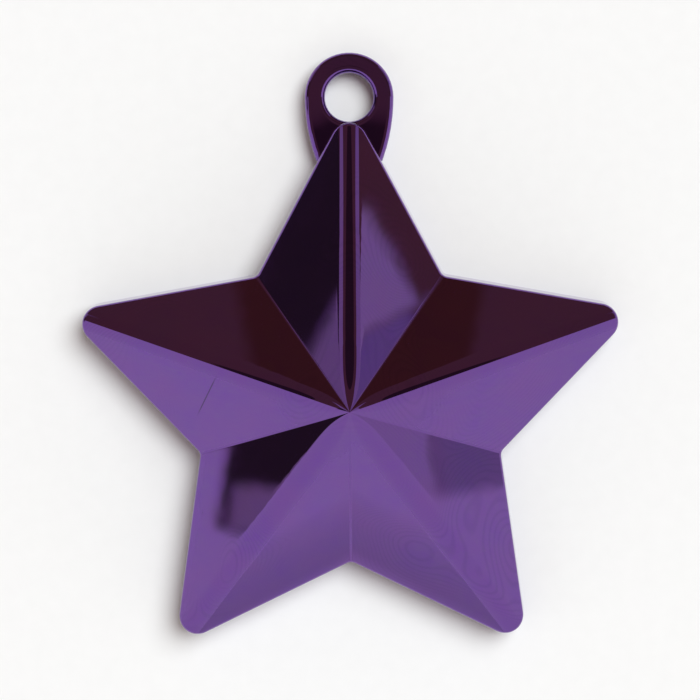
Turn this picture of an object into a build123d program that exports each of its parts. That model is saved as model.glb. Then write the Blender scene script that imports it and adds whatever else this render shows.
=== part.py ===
from build123d import *
import os
from math import acos, asin, atan2, cos, degrees, hypot, pi, radians, sin, tan

# A balloon weight: a hollow star with ten flat facets, closed by a flat back cover that carries the
# hanging tab, and loaded with a cast ballast. Millimetres. The star lies on its back: +Z points out of
# its face and +Y towards the tab, and the origin is the star's centre on the back plane.

# Star outline along the rim, where the facets meet the side wall
arms = 5
tip_radius = 55.7         # centre to the tip of an arm, before the tip is rounded
notch_radius = 29.15      # centre to the inner corner between two arms
tip_round = 3.0
tip_flat = 0.5            # flat left across each tip, which runs on up the ridge
notch_round = 1.2

# Front shell
face_rise = 24.5          # apex above the rim
skirt_height = 6.0        # rim above the back plane
skirt_draft = 6.0         # degrees by which the side wall flares towards the back
rim_round = 1.5
rim_steps = 4             # outlines between which the rounded rim is drawn
edge_break = 0.3          # small chamfer along the back edges and the pin ends
wall = 2.0
lip = 1.0                 # side wall left outside the back cover
inner_tip_round = 1.0     # smallest tip radius inside the shell

# Hanging tab
tab_radius = 8.25
tab_thickness = 4.0
tab_flank_radius = 34.0   # long arcs that draw the tab in below its hole
tab_tail_round = 2.0
tab_round = 1.1
hole_diameter = 9.0
hole_round = 1.2
hole_clear = 0.5          # between the rounded tip of the star and the edge of the hole

# Back cover
cover_thickness = 2.0
rib_width = 1.2
rib_height = 1.4
boss_circle = 26.0        # radius on which the pins and their bosses stand
boss_diameter = 6.0
pin_diameter = 3.0
pin_length = 7.0

# Fits
cover_clearance = 0.1
pin_clearance = 0.05
slot_clearance = 0.2
fill_clearance = 0.15
fill_gap = 0.5            # between the poured surface of the ballast and what lies under it

# Worked out from the sizes above
half_step = 180 / arms
first_arm = 90            # degrees; this arm points along +Y and carries the tab
notch_across = notch_radius * sin(radians(half_step))
notch_along = notch_radius * cos(radians(half_step))
edge_length = hypot(tip_radius - notch_along, notch_across)
edge_distance = tip_radius * notch_across / edge_length
slope = atan2(face_rise, edge_distance)
apex_height = skirt_height + face_rise
flare = skirt_height * tan(radians(skirt_draft))
tip_half = asin(edge_distance / tip_radius)
fill_level = max(tab_thickness, cover_thickness + rib_height) + fill_gap


def tip_cut(radius):
    """Length cut off along both edges of a tip, so that its flat stays between two roundings."""
    return (tip_flat + 2 * radius * tan((pi / 2 - tip_half) / 2)) / (2 * sin(tip_half))


def tip_rounding(inset):
    """Radius of the tips of an outline, smaller the further in it lies."""
    return max(tip_round - inset, inner_tip_round)


def star(inset, height, radius=0, notch=0):
    """The star outline on a level plane, moved in by the same distance all round, with flat tips. Tips and
    notches are rounded where a radius is given."""
    scale = 1 - inset / edge_distance
    corners = []
    for arm in range(arms):
        turn = first_arm + 2 * half_step * arm
        corners.append(Vector(tip_radius * scale, 0).rotate(Axis.Z, turn))
        corners.append(Vector(notch_radius * scale, 0).rotate(Axis.Z, turn + half_step))
    with BuildSketch(Plane.XY.offset(height)) as outline:
        with BuildLine():
            Polyline(*corners, close=True)
        make_face()
        tips = outline.vertices().sort_by_distance((0, 0, 0))[-arms:]
        chamfer(tips, tip_cut(radius or tip_rounding(inset)))
        if radius:
            fillet(outline.vertices().sort_by_distance((0, 0, 0))[-2 * arms:], radius)
        if notch:
            fillet(outline.vertices().sort_by_distance((0, 0, 0))[:arms], notch)
    return outline.sketch


def round_star(inset, height):
    """The star outline as it is on the outside of the shell."""
    return star(inset, height, tip_rounding(inset), notch_round)


def arm_roof(inset, height, radius, top):
    """Two facets and the rounded ridge between them, from one level up to another: the end of the top arm
    drawn along its ridge, kept between the two valleys beside it."""
    tip = tip_radius * (1 - inset / edge_distance)
    reach = 2 * tip_radius
    spread = reach * tan(tip_half)
    across = tip_radius * tan(radians(half_step))
    with BuildPart() as roof:
        with BuildSketch(Plane.XY.offset(height)) as arm_end:
            with BuildLine():
                Polyline((0, tip), (spread, tip - reach), (-spread, tip - reach), close=True)
            make_face()
            chamfer(arm_end.vertices().sort_by(Axis.Y)[-1], tip_cut(radius))
            fillet(arm_end.vertices().sort_by(Axis.Y)[-2:], radius)
        extrude(arm_end.sketch, amount=hypot(tip, apex_height - height), dir=(0, -tip, apex_height - height))
        with BuildSketch(Plane.XY.offset(height)) as sector:
            with BuildLine():
                Polyline((0, 0), (across, tip_radius), (-across, tip_radius), close=True)
            make_face()
        extrude(sector.sketch, amount=top - height, mode=Mode.INTERSECT)
    return roof.part


def star_core(inset):
    """What fits inside a wall of this thickness: a star prism on the back plane, up to the facets."""
    shoulder = skirt_height - inset * (1 - sin(slope)) / cos(slope)
    peak = Vertex(0, 0, apex_height - inset / cos(slope))
    with BuildPart() as core:
        loft([star(inset, 0), star(inset, shoulder), peak], ruled=True)
    return core.part


def circles_in_arms(radius, height):
    """One circle in each arm, on the circle of the bosses."""
    with BuildSketch(Plane.XY.offset(height)) as circles:
        with PolarLocations(boss_circle, arms, start_angle=first_arm):
            Circle(radius)
    return circles.sketch


def tab_outline(grow):
    """Egg shape of the tab: a half circle over its hole, drawn in below by two long arcs."""
    flank_centre = tab_flank_radius - tab_radius
    flank_sweep = degrees(acos(flank_centre / (tab_flank_radius + grow)))
    with BuildSketch() as outline:
        with BuildLine():
            CenterArc((flank_centre, hole_centre), tab_flank_radius + grow, 180, flank_sweep)
            mirror(about=Plane.YZ)
            CenterArc((0, hole_centre), tab_radius + grow, 0, 180)
        make_face()
        fillet(outline.vertices().sort_by(Axis.Y)[0], tab_tail_round + grow)
    return outline.sketch


rounded_tip = tip_radius - tip_cut(tip_round) * cos(tip_half)
hole_centre = rounded_tip + hole_clear + hole_diameter / 2

# Section of the outer skin across a straight edge, as inset and height: side wall, rounded rim, facet
with BuildLine():
    skin = FilletPolyline((-flare, 0), (0, skirt_height), (edge_distance, apex_height), radius=rim_round)
rim = skin.edges().filter_by(GeomType.CIRCLE)[0]
rim_points = [rim @ (step / rim_steps) for step in range(rim_steps + 1)]
rim_outlines = [round_star(point.X, point.Y) for point in rim_points]
wall_foot = [round_star(edge_break - flare, 0),
             round_star(edge_break * tan(radians(skirt_draft)) - flare, edge_break)]

# The ridges keep their rounding up to the crown, where it has used up most of the arms' edges, and close on
# the apex from there
rim_inset, rim_height = rim_points[-1].X, rim_points[-1].Y
ridge_round = tip_rounding(rim_inset)
rounded_length = tip_cut(ridge_round) + ridge_round * tan((pi / 2 - tip_half) / 2)
crown_scale = 1.15 * rounded_length / edge_length
crown_height = apex_height - crown_scale * face_rise
crown = star(edge_distance * (1 - crown_scale), crown_height, ridge_round)

# Front shell: ten facets rising to one apex over a drafted side wall, hollowed to an even wall. Five
# bosses stay standing inside, one in each arm, for the pins of the back cover.
bosses = circles_in_arms(boss_diameter / 2, cover_thickness)
pin_holes = circles_in_arms(pin_diameter / 2 + pin_clearance, cover_thickness)
with BuildPart() as cavity:
    add(star_core(wall))
    extrude(bosses, amount=apex_height, mode=Mode.SUBTRACT)
with BuildPart() as front_shell:
    loft(wall_foot + rim_outlines[:1], ruled=True)
    loft(rim_outlines)
    with PolarLocations(0, arms):
        add(arm_roof(rim_inset, rim_height, ridge_round, crown_height))
    loft([crown, Vertex(0, 0, apex_height)], ruled=True)
    add(cavity.part, mode=Mode.SUBTRACT)
    # Rebate for the back cover, and the slot in the top arm that the tab comes out of
    extrude(round_star(lip, 0), amount=cover_thickness, mode=Mode.SUBTRACT)
    extrude(tab_outline(slot_clearance), amount=tab_thickness + slot_clearance, mode=Mode.SUBTRACT)
    extrude(pin_holes, amount=pin_length + pin_clearance, mode=Mode.SUBTRACT)
front_shell.part.label = "front_shell"

# Hanging tab: a thick plate, rounded in front, with the hole that the ribbon is tied through
with BuildPart() as tab:
    extrude(tab_outline(0), amount=tab_thickness)
    fillet(tab.edges().group_by(Axis.Z)[-1], tab_round)
    with Locations((0, hole_centre, tab_thickness)):
        Hole(hole_diameter / 2, depth=tab_thickness)
    fillet(tab.edges(Select.LAST).group_by(Axis.Z)[-1], hole_round)
    chamfer(tab.edges().group_by(Axis.Z)[0], edge_break)

# Back cover: a star plate that lies in the rebate, moulded in one with the tab, the rib that centres it
# inside the wall and the five pins
rib_inset = wall + cover_clearance
pins = circles_in_arms(pin_diameter / 2, cover_thickness)
with BuildPart() as back_cover:
    extrude(round_star(lip + cover_clearance, 0), amount=cover_thickness)
    chamfer(back_cover.edges().group_by(Axis.Z)[0], edge_break)
    extrude(star(rib_inset, cover_thickness), amount=rib_height)
    extrude(star(rib_inset + rib_width, cover_thickness), amount=rib_height, mode=Mode.SUBTRACT)
    extrude(pins, amount=pin_length)
    chamfer(back_cover.edges().group_by(Axis.Z)[-1], edge_break)
    add(tab.part)
back_cover.part.label = "back_cover"

# Ballast: cast into the shell round the bosses, and struck off level behind the cover
sleeves = circles_in_arms(boss_diameter / 2 + fill_clearance, 0)
with BuildPart() as ballast:
    add(star_core(wall + fill_clearance))
    extrude(sleeves, amount=apex_height, mode=Mode.SUBTRACT)
    split(bisect_by=Plane.XY.offset(fill_level), keep=Keep.TOP)
ballast.part.label = "ballast"

os.makedirs("parts", exist_ok=True)
for piece in (front_shell, back_cover, ballast):
    export_step(piece.part, f"parts/{piece.part.label}.step")
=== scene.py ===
"""Dresses the star balloon weight: plated skin, cast ballast, pale table, soft studio light and camera."""
from math import asin, atan, atan2, cos, hypot, pi, radians, sin, sqrt, tan, tanh

import bmesh
import bpy
from mathutils import Matrix, Vector


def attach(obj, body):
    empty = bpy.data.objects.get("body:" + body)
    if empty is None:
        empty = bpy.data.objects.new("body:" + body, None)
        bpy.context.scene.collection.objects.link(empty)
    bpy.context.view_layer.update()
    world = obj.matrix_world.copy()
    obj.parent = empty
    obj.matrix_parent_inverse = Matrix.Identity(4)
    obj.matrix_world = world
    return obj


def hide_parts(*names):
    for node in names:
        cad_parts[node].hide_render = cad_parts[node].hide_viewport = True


MM = 0.001

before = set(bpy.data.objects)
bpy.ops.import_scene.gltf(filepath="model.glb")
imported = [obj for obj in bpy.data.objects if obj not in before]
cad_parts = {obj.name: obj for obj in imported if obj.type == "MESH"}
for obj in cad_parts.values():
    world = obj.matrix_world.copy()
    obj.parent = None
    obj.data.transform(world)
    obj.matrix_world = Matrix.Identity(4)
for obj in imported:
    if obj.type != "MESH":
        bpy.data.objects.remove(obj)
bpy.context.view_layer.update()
scene = bpy.context.scene


def linear(hex_colour, alpha=1.0):
    """An sRGB hex colour as the linear colour that a socket takes."""
    values = [int(hex_colour[i:i + 2], 16) / 255 for i in (1, 3, 5)]
    return [v / 12.92 if v <= 0.04045 else ((v + 0.055) / 1.055) ** 2.4 for v in values] + [alpha]


def add(tree, kind, inputs=None, stops=None, **settings):
    """Adds one node: settings are its properties, inputs its values or the outputs they come from, and
    stops the places and colours along a colour ramp."""
    node = tree.nodes.new(kind)
    for name, value in settings.items():
        setattr(node, name, value)
    for name, value in (inputs or {}).items():
        if isinstance(value, bpy.types.NodeSocket):
            tree.links.new(value, node.inputs[name])
        else:
            node.inputs[name].default_value = value
    for i, (place, colour) in enumerate(stops or []):
        elements = node.color_ramp.elements
        stop = elements[i] if i < 2 else elements.new(place)
        stop.position = place
        stop.color = colour
    return node


def per(size_mm):
    """Pattern scale at which one feature is this many millimetres wide."""
    return 1 / (size_mm * MM)


def new_material(name):
    material = bpy.data.materials.new(name)
    material.use_nodes = True
    material.node_tree.nodes.clear()
    return material, material.node_tree


def plated_plastic():
    """ABS moulding, vacuum metallised and dipped in purple lacquer: a tinted mirror under a clear gloss."""
    material, tree = new_material("metallised_abs_purple_lacquer")
    where = add(tree, "ShaderNodeTexCoord").outputs["Object"]
    # The lacquer runs a little thicker and thinner, over about a centimetre
    flow = add(tree, "ShaderNodeTexNoise", {"Vector": where, "Scale": per(9), "Detail": 3.0})
    lacquer = add(tree, "ShaderNodeMix", {
        0: flow.outputs["Fac"], 6: linear("#623899"), 7: linear("#703F90")}, data_type="RGBA")
    # Polishing marks of the mould: faint lines less than a millimetre apart that follow each other round, in
    # patches of a few centimetres
    radians_over_swirl = 640.0
    swirl = add(tree, "ShaderNodeTexNoise", {"Vector": where, "Scale": per(30), "Detail": 0.5})
    phase = add(tree, "ShaderNodeMath", {
        0: swirl.outputs["Fac"], 1: radians_over_swirl}, operation="MULTIPLY")
    marks = add(tree, "ShaderNodeMath", {0: phase.outputs["Value"]}, operation="SINE")
    patches = add(tree, "ShaderNodeTexNoise", {"Vector": where, "Scale": per(25)})
    polish = add(tree, "ShaderNodeMapRange", {
        "Value": patches.outputs["Fac"], "From Min": 0.4, "From Max": 0.6, "To Max": 0.15})
    streak = add(tree, "ShaderNodeMapRange", {
        "Value": marks.outputs["Value"], "From Min": 0.0, "To Max": polish.outputs["Result"]})
    polished = add(tree, "ShaderNodeMix", {
        0: streak.outputs["Result"], 6: lacquer.outputs[2], 7: linear("#3A1C66")}, data_type="RGBA")
    # Specks of dust caught in the lacquer, 0.3 mm across, in three of ten places about a centimetre apart
    dust_spacing = 9
    dust = add(tree, "ShaderNodeTexVoronoi", {"Vector": where, "Scale": per(dust_spacing)})
    chance = add(tree, "ShaderNodeSeparateColor", {"Color": dust.outputs["Color"]})
    caught = add(tree, "ShaderNodeMath", {0: chance.outputs["Red"], 1: 0.7}, operation="GREATER_THAN")
    speck = add(tree, "ShaderNodeMapRange", {
        "Value": dust.outputs["Distance"], "From Min": 0.1 / dust_spacing, "From Max": 0.2 / dust_spacing,
        "To Min": caught.outputs["Value"], "To Max": 0.0})
    # One scratch on the front of the left arm, 9 mm long and 0.2 mm wide
    scratch = add(tree, "ShaderNodeMapping", {
        "Vector": where, "Location": (-25.84 * MM, 2.1 * MM, 0.0), "Rotation": (0.0, 0.0, radians(61.2))},
        vector_type="TEXTURE")
    line = add(tree, "ShaderNodeSeparateXYZ", {"Vector": scratch.outputs["Vector"]})
    along = add(tree, "ShaderNodeMath", {0: line.outputs["X"]}, operation="ABSOLUTE")
    beside = add(tree, "ShaderNodeMath", {0: line.outputs["Y"]}, operation="ABSOLUTE")
    in_front = add(tree, "ShaderNodeMath", {0: line.outputs["Z"], 1: 5 * MM}, operation="GREATER_THAN")
    length = add(tree, "ShaderNodeMapRange", {
        "Value": along.outputs["Value"], "From Min": 2.5 * MM, "From Max": 4.5 * MM,
        "To Min": in_front.outputs["Value"], "To Max": 0.0})
    cut = add(tree, "ShaderNodeMapRange", {
        "Value": beside.outputs["Value"], "From Min": 0.05 * MM, "From Max": 0.15 * MM,
        "To Min": length.outputs["Result"], "To Max": 0.0})
    flaw = add(tree, "ShaderNodeMath", {
        0: speck.outputs["Result"], 1: cut.outputs["Result"]}, operation="MAXIMUM")
    tint = add(tree, "ShaderNodeMix", {
        0: flaw.outputs["Value"], 6: polished.outputs[2], 7: linear("#40225F")}, data_type="RGBA")
    # The gloss is a little hazier where the lacquer is thicker
    haze = add(tree, "ShaderNodeMapRange", {
        "Value": flow.outputs["Fac"], "From Min": 0.3, "From Max": 0.7, "To Min": 0.015, "To Max": 0.04})
    # Shallow waves that the moulding takes over from the hand polished mould
    waves = add(tree, "ShaderNodeTexNoise", {"Vector": where, "Scale": per(7), "Detail": 1.0})
    bump = add(tree, "ShaderNodeBump", {
        "Height": waves.outputs["Fac"], "Strength": 1.0, "Distance": 0.008 * MM})
    skin = add(tree, "ShaderNodeBsdfPrincipled", {
        "Base Color": tint.outputs[2], "Metallic": 1.0, "Roughness": haze.outputs["Result"],
        "Normal": bump.outputs["Normal"], "Coat Weight": 0.7, "Coat Roughness": 0.02, "Coat IOR": 1.5})
    add(tree, "ShaderNodeOutputMaterial", {"Surface": skin.outputs["BSDF"]})
    return material


def cast_ballast():
    """Iron grit bound with cement: dull grey with darker grains."""
    material, tree = new_material("cement_bound_iron_grit")
    where = add(tree, "ShaderNodeTexCoord").outputs["Object"]
    grit = add(tree, "ShaderNodeTexVoronoi", {"Vector": where, "Scale": per(1.2)})
    ramp = add(tree, "ShaderNodeValToRGB", {"Fac": grit.outputs["Distance"]},
               stops=[(0.0, linear("#4A4644")), (1.0, linear("#8C8883"))])
    bump = add(tree, "ShaderNodeBump", {
        "Height": grit.outputs["Distance"], "Strength": 0.5, "Distance": 0.2 * MM})
    stone = add(tree, "ShaderNodeBsdfPrincipled", {
        "Base Color": ramp.outputs["Color"], "Roughness": 0.9, "Normal": bump.outputs["Normal"]})
    add(tree, "ShaderNodeOutputMaterial", {"Surface": stone.outputs["BSDF"]})
    return material


def table_card():
    """Matt white card that the weight lies on, with the faint mottle of its paper and a painted shade in
    front.
    """
    material, tree = new_material("matt_white_card")
    where = add(tree, "ShaderNodeTexCoord").outputs["Object"]
    paper = add(tree, "ShaderNodeTexNoise", {"Vector": where, "Scale": per(3), "Detail": 4.0})
    tone = add(tree, "ShaderNodeMix", {
        0: paper.outputs["Fac"], 6: linear("#F3F3F3"), 7: linear("#F7F7F7")}, data_type="RGBA")
    # Painted shade: the card's colour is greyer in front, from 90 mm off and about 30 degrees to each side,
    # standing in for light that falls off there, so that the plating mirrors a darker table
    place = add(tree, "ShaderNodeSeparateXYZ", {"Vector": where})
    ahead = add(tree, "ShaderNodeMath", {0: place.outputs["Y"], 1: -1.0}, operation="MULTIPLY")
    bearing = add(tree, "ShaderNodeMath", {
        0: place.outputs["X"], 1: ahead.outputs["Value"]}, operation="ARCTAN2")
    aside = add(tree, "ShaderNodeMath", {0: bearing.outputs["Value"]}, operation="ABSOLUTE")
    narrow = add(tree, "ShaderNodeMapRange", {
        "Value": aside.outputs["Value"], "From Min": radians(17), "From Max": radians(40), "To Min": 1.0,
        "To Max": 0.0}, interpolation_type="SMOOTHSTEP")
    fading = add(tree, "ShaderNodeMapRange", {
        "Value": ahead.outputs["Value"], "From Min": 175 * MM, "From Max": 700 * MM,
        "To Min": narrow.outputs["Result"], "To Max": 0.0})
    painted_shade = add(tree, "ShaderNodeMapRange", {
        "Value": ahead.outputs["Value"], "From Min": 90 * MM, "From Max": 175 * MM,
        "To Max": fading.outputs["Result"]}, interpolation_type="SMOOTHSTEP")
    # Painted shade: mixes the card's tone towards grey #D2D1D3 in front
    card_with_painted_shade = add(tree, "ShaderNodeMix", {
        0: painted_shade.outputs["Result"], 6: tone.outputs[2], 7: linear("#D2D1D3")}, data_type="RGBA")
    card = add(tree, "ShaderNodeBsdfDiffuse", {"Color": card_with_painted_shade.outputs[2]})
    add(tree, "ShaderNodeOutputMaterial", {"Surface": card.outputs["BSDF"]})
    return material


# Sizes of the star, in millimetres
ARMS = 5
TIP, NOTCH = 55.7, 29.15                     # centre to a sharp tip, and to the corner between two arms
RIM, RISE = 6.0, 24.5                        # rim above the back, and apex above the rim
DRAFT = tan(radians(6))                      # lean of the side wall
FLARE = RIM * DRAFT
WALL, LIP, COVER, EDGE = 1.9, 1.0, 2.0, 0.3  # wall, lip beside the cover, cover, broken edge at the back
SLOT_HALF, SLOT_TOP = 6.0, 4.2               # slot for the tab: half its width, and its height
# Roundings, and how far from the apex the ridges and valleys are nearly sharp, in millimetres
TIP_ROUND, NOTCH_ROUND, RIM_ROUND = 3.417, 1.8, 0.9
RIDGE_ROUND, VALLEY_ROUND, APEX_REACH = 3.2, 0.6, 4.0
# Steps along half an arm's outline and up the rounded rim, and outlines up the face as shares of the way from
# rim to apex: one close to the rim, and the rest closer together towards the apex
TIP_STEPS, EDGE_STEPS, NOTCH_STEPS, RIM_STEPS = 12, 30, 6, 8
ROOF_SHARES = [0.004] + [i / 20 for i in range(1, 16)] + [0.75 + 0.2475 * i / 26 for i in range(1, 27)]

half = pi / ARMS
edge_distance = TIP * NOTCH * sin(half) / hypot(TIP - NOTCH * cos(half), NOTCH * sin(half))
tip_half = asin(edge_distance / TIP)
apex = RIM + RISE
ridge_slope, valley_slope = atan(RISE / TIP), atan(RISE / NOTCH)
facet_fall = RISE / edge_distance
facet_slope = atan(facet_fall)
ridge_fold = atan(facet_fall * cos(tip_half) * cos(ridge_slope))
valley_fold = atan(facet_fall * sin(pi / 2 - tip_half - half) * cos(valley_slope))


def fold(across, radius, angle):
    """Distance from a sharp fold to the rounded one beside it, where two planes lean by this angle."""
    if across < radius * sin(angle):
        return radius / cos(angle) - sqrt(radius ** 2 - across ** 2)
    return across * tan(angle)


def roof(x, y):
    """Height of the star's face: ten facets with rounded ridges and valleys, which sharpen at the apex."""
    turn = round(atan2(x, y) / (2 * half)) * 2 * half
    along, across = x * sin(turn) + y * cos(turn), abs(x * cos(turn) - y * sin(turn))
    down, beside = along * cos(half) + across * sin(half), along * sin(half) - across * cos(half)
    ridge = fold(across, RIDGE_ROUND * tanh(along / APEX_REACH), ridge_fold)
    valley = fold(beside, VALLEY_ROUND * tanh(down / APEX_REACH), valley_fold) - beside * tan(valley_fold)
    return apex - along * tan(ridge_slope) - ridge / cos(ridge_slope) + valley / cos(valley_slope)


def half_arm():
    """Rim outline from the middle of the top arm's tip to the middle of the notch on its right, as places
    and directions outwards."""
    lean = pi / 2 - tip_half
    tip_centre = Vector((0, TIP - TIP_ROUND / sin(tip_half)))
    notch_centre = Vector((sin(half), cos(half))) * (NOTCH + NOTCH_ROUND / cos(lean - half))
    arcs = [(tip_centre, TIP_ROUND, lean * i / TIP_STEPS) for i in range(TIP_STEPS + 1)]
    arcs += [(notch_centre, -NOTCH_ROUND, lean - (lean - half) * i / NOTCH_STEPS)
             for i in range(NOTCH_STEPS + 1)]
    points = []
    for centre, radius, turn in arcs:
        outwards = Vector((sin(turn), cos(turn)))
        points.append((centre + radius * outwards, outwards))
    tip, notch = points[:TIP_STEPS + 1], points[TIP_STEPS + 1:]
    start, end = tip[-1][0], notch[0][0]
    edge = [(start.lerp(end, i / EDGE_STEPS), tip[-1][1]) for i in range(1, EDGE_STEPS)]
    return tip + edge + notch


def star_outline():
    """Rim outline of the whole star, as places and directions outwards."""
    right = half_arm()
    left = [(Vector((-p.x, p.y)), Vector((-n.x, n.y))) for p, n in right[-2:0:-1]]
    turns = [Matrix.Rotation(-2 * half * arm, 2) for arm in range(ARMS)]
    return [(turn @ p, turn @ n) for turn in turns for p, n in left + right]


def rim_section(p, outwards):
    """The rounded rim at one place of the outline, from side wall to face, as insets and heights."""
    near, far = 0.3, 1.2    # insets between which the slope of the face is taken
    near_height, far_height = (roof(*(p - outwards * inset)) for inset in (near, far))
    rise = (far_height - near_height) / (far - near)
    foot = near_height - near * rise
    height = (foot - FLARE * rise) / (1 - DRAFT * rise)
    steep, flat = pi / 2 - atan(DRAFT), atan(rise)
    reach = RIM_ROUND * tan((steep - flat) / 2)
    start = Vector((height * DRAFT - FLARE - reach * cos(steep), height - reach * sin(steep)))
    centre = start + RIM_ROUND * Vector((sin(steep), -cos(steep)))
    turns = [steep + (flat - steep) * i / RIM_STEPS for i in range(RIM_STEPS + 1)]
    return [centre + RIM_ROUND * Vector((-sin(turn), cos(turn))) for turn in turns]


def star_rings():
    """Outlines round the star, from under the peak inside over its foot and rim up to the apex."""
    outline = star_outline()
    # The side wall stops over the tab
    feet = [SLOT_TOP if p.y > 0 and abs(p.x) < SLOT_HALF else 0.0 for p, _ in outline]

    def inside(inset, height):
        return [Vector((*(p - n * inset), max(height, foot))) for (p, n), foot in zip(outline, feet)]

    def outside(inset, height):
        return [Vector((*(p - n * (inset + foot * DRAFT)), foot + height))
                for (p, n), foot in zip(outline, feet)]

    shoulder = RIM - WALL * (1 - sin(facet_slope)) / cos(facet_slope)
    rings = [inside(WALL, shoulder), inside(WALL, COVER), inside(LIP, COVER), inside(LIP, 0.0),
             outside(EDGE - FLARE, 0.0), outside(EDGE * DRAFT - FLARE, EDGE)]
    sections = [rim_section(p, n) for p, n in outline]
    for step in range(RIM_STEPS + 1):
        rings.append([Vector((*(p - n * section[step][0]), section[step][1]))
                      for (p, n), section in zip(outline, sections)])
    rim_end = rings[-1]
    for share in ROOF_SHARES:
        places = [p.xy * (1 - share) for p in rim_end]
        rings.append([Vector((*place, roof(*place))) for place in places])
    return rings


def star_shell(material):
    """The plated star as one closed skin, with finer roundings than the CAD has. One loop of edges grows into
    the whole skin, and both of its ends are drawn together to a point."""
    rings = star_rings()
    body = bmesh.new()
    spot = body.verts.layers.int.new("spot")
    bmesh.ops.create_circle(body, segments=len(rings[0]), radius=1.0)
    for i, vert in enumerate(body.verts):
        vert[spot] = i
        vert.co = rings[0][i] * MM
    first = list(body.edges)

    def grow(edges, places):
        grown = bmesh.ops.extrude_edge_only(body, edges=edges)["geom"]
        verts = [item for item in grown if isinstance(item, bmesh.types.BMVert)]
        for vert in verts:
            vert.co = places[vert[spot]] * MM
        return verts, [item for item in grown if isinstance(item, bmesh.types.BMEdge) and item.is_boundary]

    inner_peak = Vector((0, 0, (apex - WALL / cos(facet_slope)) * MM))
    bmesh.ops.pointmerge(body, verts=grow(first, rings[0])[0], merge_co=inner_peak)
    loop = first
    for places in rings[1:]:
        loop = grow(loop, places)[1]
    bmesh.ops.pointmerge(body, verts=grow(loop, rings[-1])[0], merge_co=Vector((0, 0, apex * MM)))
    bmesh.ops.remove_doubles(body, verts=body.verts, dist=0.001 * MM)
    bmesh.ops.recalc_face_normals(body, faces=body.faces)
    mesh = bpy.data.meshes.new("star_shell")
    body.to_mesh(mesh)
    body.free()
    mesh.shade_smooth()
    mesh.set_sharp_from_angle(angle=radians(30))
    mesh.materials.append(material)
    return mesh


plating = plated_plastic()
shell = bpy.data.objects.new("star_shell", star_shell(plating))
scene.collection.objects.link(shell)
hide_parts("front_shell")
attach(shell, "root")
for node, finish in (("back_cover", plating), ("ballast", cast_ballast())):
    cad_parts[node].data.materials.clear()
    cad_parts[node].data.materials.append(finish)

# Table, in metres from its middle to each side
TABLE_REACH = 6.0
grid = bmesh.new()
bmesh.ops.create_grid(grid, x_segments=1, y_segments=1, size=TABLE_REACH)
table_mesh = bpy.data.meshes.new("table")
grid.to_mesh(table_mesh)
grid.free()
table_mesh.materials.append(table_card())
table = bpy.data.objects.new("table", table_mesh)
scene.collection.objects.link(table)

# Studio round the table: a brown wall, and panels in front of it, each of one plain tone. A panel has a span
# of compass degrees from the front, where +90 is to the right and 180 behind the tab, and one of elevation.
ROOM_WALL = "#82644F"
PANELS = [
    ("ceiling", (-181, 181), (46, 91), "#7A6150"),
    ("dark panel overhead", (-181, 181), (84.6, 91), "#453630"),
    ("dark border of the ceiling", (-181, 181), (39, 46), "#4A3A33"),
    ("dark border behind on the left", (-181, -146), (36, 39.5), "#4A3A33"),
    ("dark border behind on the right", (146, 181), (36, 39.5), "#4A3A33"),
    ("brown panel behind on the left", (-181, -166.3), (-91, 20), "#6E4A30"),
    ("brown panel behind on the right", (166.3, 181), (-91, 20), "#6E4A30"),
    ("dark panel on the left", (-124, -90), (0.5, 27), "#453E36"),
    ("pale panel on the right", (90, 113), (2.3, 27), "#E6E6E2"),
    ("grey edge on the right", (113, 117), (2.8, 27), "#B4B0BC"),
    ("low grey panel on the right", (90, 117), (-91, 2.3), "#BABABE"),
    ("white panel in front", (-90.4, 91.6), (-91, 40), "#F8F8F7"),
    ("high white panel in front", (-98, 98), (27, 41), "#F8F8F7"),
    ("grey edge on the left", (-91.8, -90.4), (0.9, 27), "#C2BCB6"),
    ("far edge of the table", (-124, 91.6), (-91, 0.5), "#F8F8F7"),
    ("low light on the left", (-118, -111), (3.4, 8), "#C2BDB9"),
    ("low light on the right", (117, 120.4), (2.4, 8), "#E0E0D8"),
    ("high light on the left", (-140, -117), (8, 26.5), "#CCC6C2"),
    ("high light on the right", (117, 140), (8, 26.5), "#CCC6C8")]
PANEL_BLUR = 0.3


def within(tree, angle, low, high):
    """1 where an angle lies in this span of degrees and 0 outside, with soft edges."""
    offset = add(tree, "ShaderNodeMath", {0: angle, 1: radians((low + high) / 2)}, operation="SUBTRACT")
    apart = add(tree, "ShaderNodeMath", {0: offset.outputs["Value"]}, operation="ABSOLUTE")
    return add(tree, "ShaderNodeMapRange", {
        "Value": apart.outputs["Value"], "From Min": radians((high - low) / 2 - PANEL_BLUR),
        "From Max": radians((high - low) / 2 + PANEL_BLUR), "To Min": 1.0, "To Max": 0.0},
        interpolation_type="SMOOTHSTEP").outputs["Result"]


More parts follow.
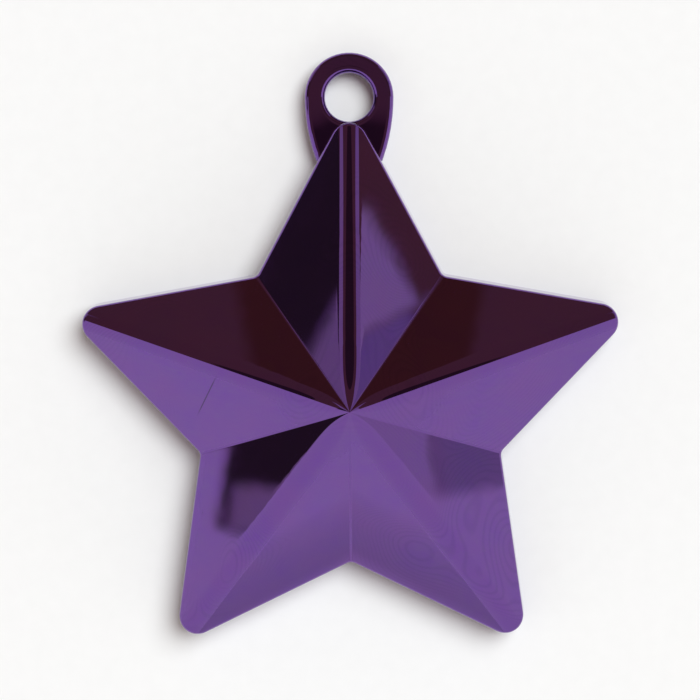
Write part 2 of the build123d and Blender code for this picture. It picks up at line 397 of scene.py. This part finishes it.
def studio():
    """World with the wall and the panels."""
    world = bpy.data.worlds.new("studio")
    world.use_nodes = True
    tree = world.node_tree
    tree.nodes.clear()
    look = add(tree, "ShaderNodeSeparateXYZ", {
        "Vector": add(tree, "ShaderNodeTexCoord").outputs["Generated"]})
    ahead = add(tree, "ShaderNodeMath", {0: look.outputs["Y"], 1: -1.0}, operation="MULTIPLY")
    compass = add(tree, "ShaderNodeMath", {
        0: look.outputs["X"], 1: ahead.outputs["Value"]}, operation="ARCTAN2").outputs["Value"]
    elevation = add(tree, "ShaderNodeMath", {0: look.outputs["Z"]}, operation="ARCSINE").outputs["Value"]
    room = linear(ROOM_WALL)
    for name, across, upwards, tone in PANELS:
        cover = add(tree, "ShaderNodeMath", {
            0: within(tree, compass, *across), 1: within(tree, elevation, *upwards)},
            operation="MULTIPLY", label=name)
        room = add(tree, "ShaderNodeMix", {0: cover.outputs["Value"], 6: room, 7: linear(tone)},
                   data_type="RGBA").outputs[2]
    glow = add(tree, "ShaderNodeBackground", {"Color": room, "Strength": 1.0})
    add(tree, "ShaderNodeOutputWorld", {"Surface": glow.outputs["Background"]})
    return world


scene.world = studio()

# Key light: a broad soft source, high up to the right behind the tab, which the plating doesn't mirror
key = bpy.data.lights.new("key", "SUN")
key.energy = 2.85
key.angle = radians(45)
key.color = linear("#F5FCFF")[:3]
key_object = bpy.data.objects.new("key", key)
key_from = Vector((0.42, 0.34, 0.84))
key_object.rotation_euler = key_from.to_track_quat("Z", "Y").to_euler()
key_object.visible_glossy = False
scene.collection.objects.link(key_object)

# Camera, nearly straight above the star
camera = bpy.data.cameras.new("camera")
camera.lens = 97.5
camera.sensor_width = 36
camera_object = bpy.data.objects.new("camera", camera)
camera_place = Vector((1.74, 20.1, 356.0)) * MM
camera_turn = Matrix.Rotation(radians(0.25), 3, "Z") @ Matrix.Rotation(radians(1.653), 3, "X") \
    @ Matrix.Rotation(radians(-0.289), 3, "Y")
camera_object.matrix_world = Matrix.Translation(camera_place) @ camera_turn.transposed().to_4x4()
scene.collection.objects.link(camera_object)
scene.camera = camera_object
scene.view_settings.view_transform = "Standard"
